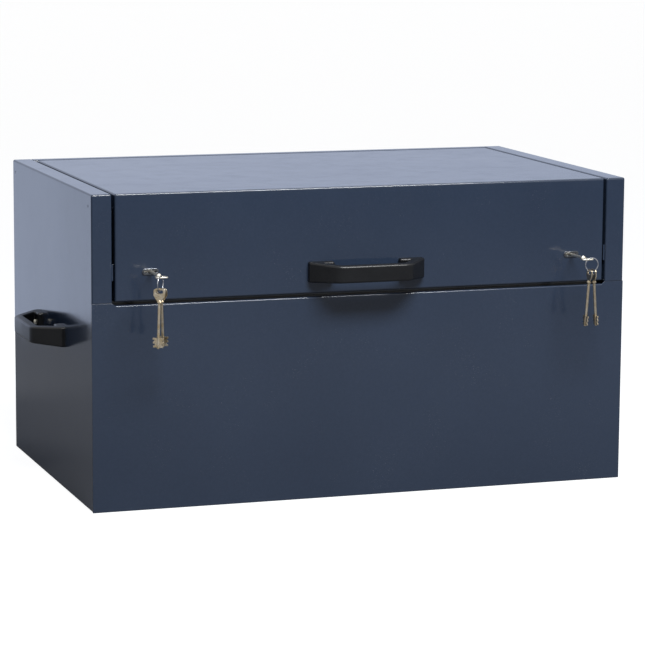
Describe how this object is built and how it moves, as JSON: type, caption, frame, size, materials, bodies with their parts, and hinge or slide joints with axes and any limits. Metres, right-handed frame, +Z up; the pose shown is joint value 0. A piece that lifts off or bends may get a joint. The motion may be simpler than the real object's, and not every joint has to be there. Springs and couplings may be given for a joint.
{
  "type": "site security box",
  "caption": "Lockable sheet-steel site storage box with an L-shaped hinged lid, key locks, ringed spare keys and bow carrying handles.",
  "frame": {"origin": "middle of the floor's underside, on the ground", "axes": "+Z up, -Y out of the front, +X to the right seen from the front"},
  "size_m": [1.015, 0.6347, 0.51],
  "materials": {
    "powder_coat": "gloss dark blue-grey powder coat",
    "black_moulding": "black glass-filled nylon, satin gloss",
    "zinc_steel": "bright zinc plate",
    "nickel": "nickel plate",
    "brass": "stamped brass",
    "rubber": "black rubber"
  },
  "bodies": {
    "cabinet": {"side_panel_left": "powder_coat", "side_panel_right": "powder_coat", "front_panel": "powder_coat", "back_panel": "powder_coat", "floor_panel": "powder_coat", "strike_post_left": "powder_coat", "strike_post_right": "powder_coat", "keeper_plate_left": "powder_coat", "keeper_plate_right": "powder_coat", "lid_buffers": "rubber", "hinge_leaf_body": "powder_coat", "hinge_pin": "zinc_steel", "stay_stud_left": "zinc_steel", "stay_stud_right": "zinc_steel", "stay_bracket_left": "powder_coat", "stay_bracket_right": "powder_coat", "side_handle_left": "black_moulding", "side_handle_left_screws": "zinc_steel", "side_handle_left_nuts": "zinc_steel", "side_handle_right": "black_moulding", "side_handle_right_screws": "zinc_steel", "side_handle_right_nuts": "zinc_steel"},
    "lid_leaf": {"lid": "powder_coat", "lid_stiffener": "powder_coat", "hinge_leaf_lid": "powder_coat", "stay_pivot_left": "zinc_steel", "stay_pivot_right": "zinc_steel", "front_handle": "black_moulding", "front_handle_screws": "zinc_steel", "front_handle_nuts": "zinc_steel", "lock_case_left": "zinc_steel", "lock_cover_left": "zinc_steel", "lock_screws_left": "zinc_steel", "lever_pack_left": "brass", "keyhole_plate_left": "nickel", "lock_case_right": "zinc_steel", "lock_cover_right": "zinc_steel", "lock_screws_right": "zinc_steel", "lever_pack_right": "brass", "keyhole_plate_right": "nickel"},
    "stay_left": {"lid_stay_left": "zinc_steel"},
    "stay_right": {"lid_stay_right": "zinc_steel"},
    "key_left": {"key_left": "nickel"},
    "bolt_left": {"lock_bolt_left": "zinc_steel", "bolt_tail_left": "zinc_steel"},
    "ring_left": {"key_ring_left": "nickel"},
    "spare_left_a": {"spare_key_left_a": "nickel"},
    "spare_left_b": {"spare_key_left_b": "nickel"},
    "key_right": {"key_right": "nickel"},
    "bolt_right": {"lock_bolt_right": "zinc_steel", "bolt_tail_right": "zinc_steel"},
    "ring_right": {"key_ring_right": "nickel"},
    "spare_right_a": {"spare_key_right_a": "nickel"},
    "spare_right_b": {"spare_key_right_b": "nickel"}
  },
  "joints": [
    {"name": "lid_hinge", "type": "hinge", "parent": "cabinet", "child": "lid_leaf", "pos_m": [0, 0.2515, 0.507], "axis": [-1, 0, 0], "range_deg": [0, 95]},
    {"name": "stay_left_turn", "type": "hinge", "parent": "lid_leaf", "child": "stay_left", "pos_m": [-0.4045, 0.12182, 0.49793], "axis": [-1, 0, 0], "range_deg": [-47.5, 0]},
    {"name": "stay_right_turn", "type": "hinge", "parent": "lid_leaf", "child": "stay_right", "pos_m": [0.4045, 0.12182, 0.49793], "axis": [-1, 0, 0], "range_deg": [-47.5, 0]},
    {"name": "key_left_turn", "type": "hinge", "parent": "lid_leaf", "child": "key_left", "pos_m": [-0.362, -0.342, 0.385], "axis": [0, -1, 0], "range_deg": [0, 90]},
    {"name": "bolt_left_slide", "type": "slide", "parent": "lid_leaf", "child": "bolt_left", "axis": [-1, 0, 0], "range_m": [0, 0.014]},
    {"name": "ring_left_turn", "type": "hinge", "parent": "key_left", "child": "ring_left", "pos_m": [-0.362, -0.342, 0.385], "axis": [0, -1, 0], "range_deg": [-90, 0]},
    {"name": "spare_left_a_swing", "type": "hinge", "parent": "ring_left", "child": "spare_left_a", "pos_m": [-0.36312, -0.34341, 0.36519], "axis": [-0.6225, -0.7826, 0], "range_deg": [-30, 30]},
    {"name": "spare_left_b_swing", "type": "hinge", "parent": "ring_left", "child": "spare_left_b", "pos_m": [-0.36748, -0.34889, 0.36519], "axis": [-0.6225, -0.7826, 0], "range_deg": [-30, 30]},
    {"name": "key_right_turn", "type": "hinge", "parent": "lid_leaf", "child": "key_right", "pos_m": [0.362, -0.342, 0.385], "axis": [0, 1, 0], "range_deg": [0, 90]},
    {"name": "bolt_right_slide", "type": "slide", "parent": "lid_leaf", "child": "bolt_right", "axis": [1, 0, 0], "range_m": [0, 0.014]},
    {"name": "ring_right_turn", "type": "hinge", "parent": "key_right", "child": "ring_right", "pos_m": [0.362, -0.342, 0.385], "axis": [0, 1, 0], "range_deg": [-90, 0]},
    {"name": "spare_right_a_swing", "type": "hinge", "parent": "ring_right", "child": "spare_right_a", "pos_m": [0.3665, -0.342, 0.36526], "axis": [1, 0, 0], "range_deg": [-30, 30]},
    {"name": "spare_right_b_swing", "type": "hinge", "parent": "ring_right", "child": "spare_right_b", "pos_m": [0.3735, -0.342, 0.36526], "axis": [1, 0, 0], "range_deg": [-30, 30]}
  ],
  "couplings": [
    {"joint": "stay_left_turn", "follows": "lid_hinge", "ratio": -0.5},
    {"joint": "stay_right_turn", "follows": "lid_hinge", "ratio": -0.5},
    {"joint": "key_left_turn", "follows": "bolt_left_slide", "rad_per_m": 112.2},
    {"joint": "ring_left_turn", "follows": "bolt_left_slide", "rad_per_m": -112.2},
    {"joint": "key_right_turn", "follows": "bolt_right_slide", "rad_per_m": 112.2},
    {"joint": "ring_right_turn", "follows": "bolt_right_slide", "rad_per_m": -112.2}
  ]
}
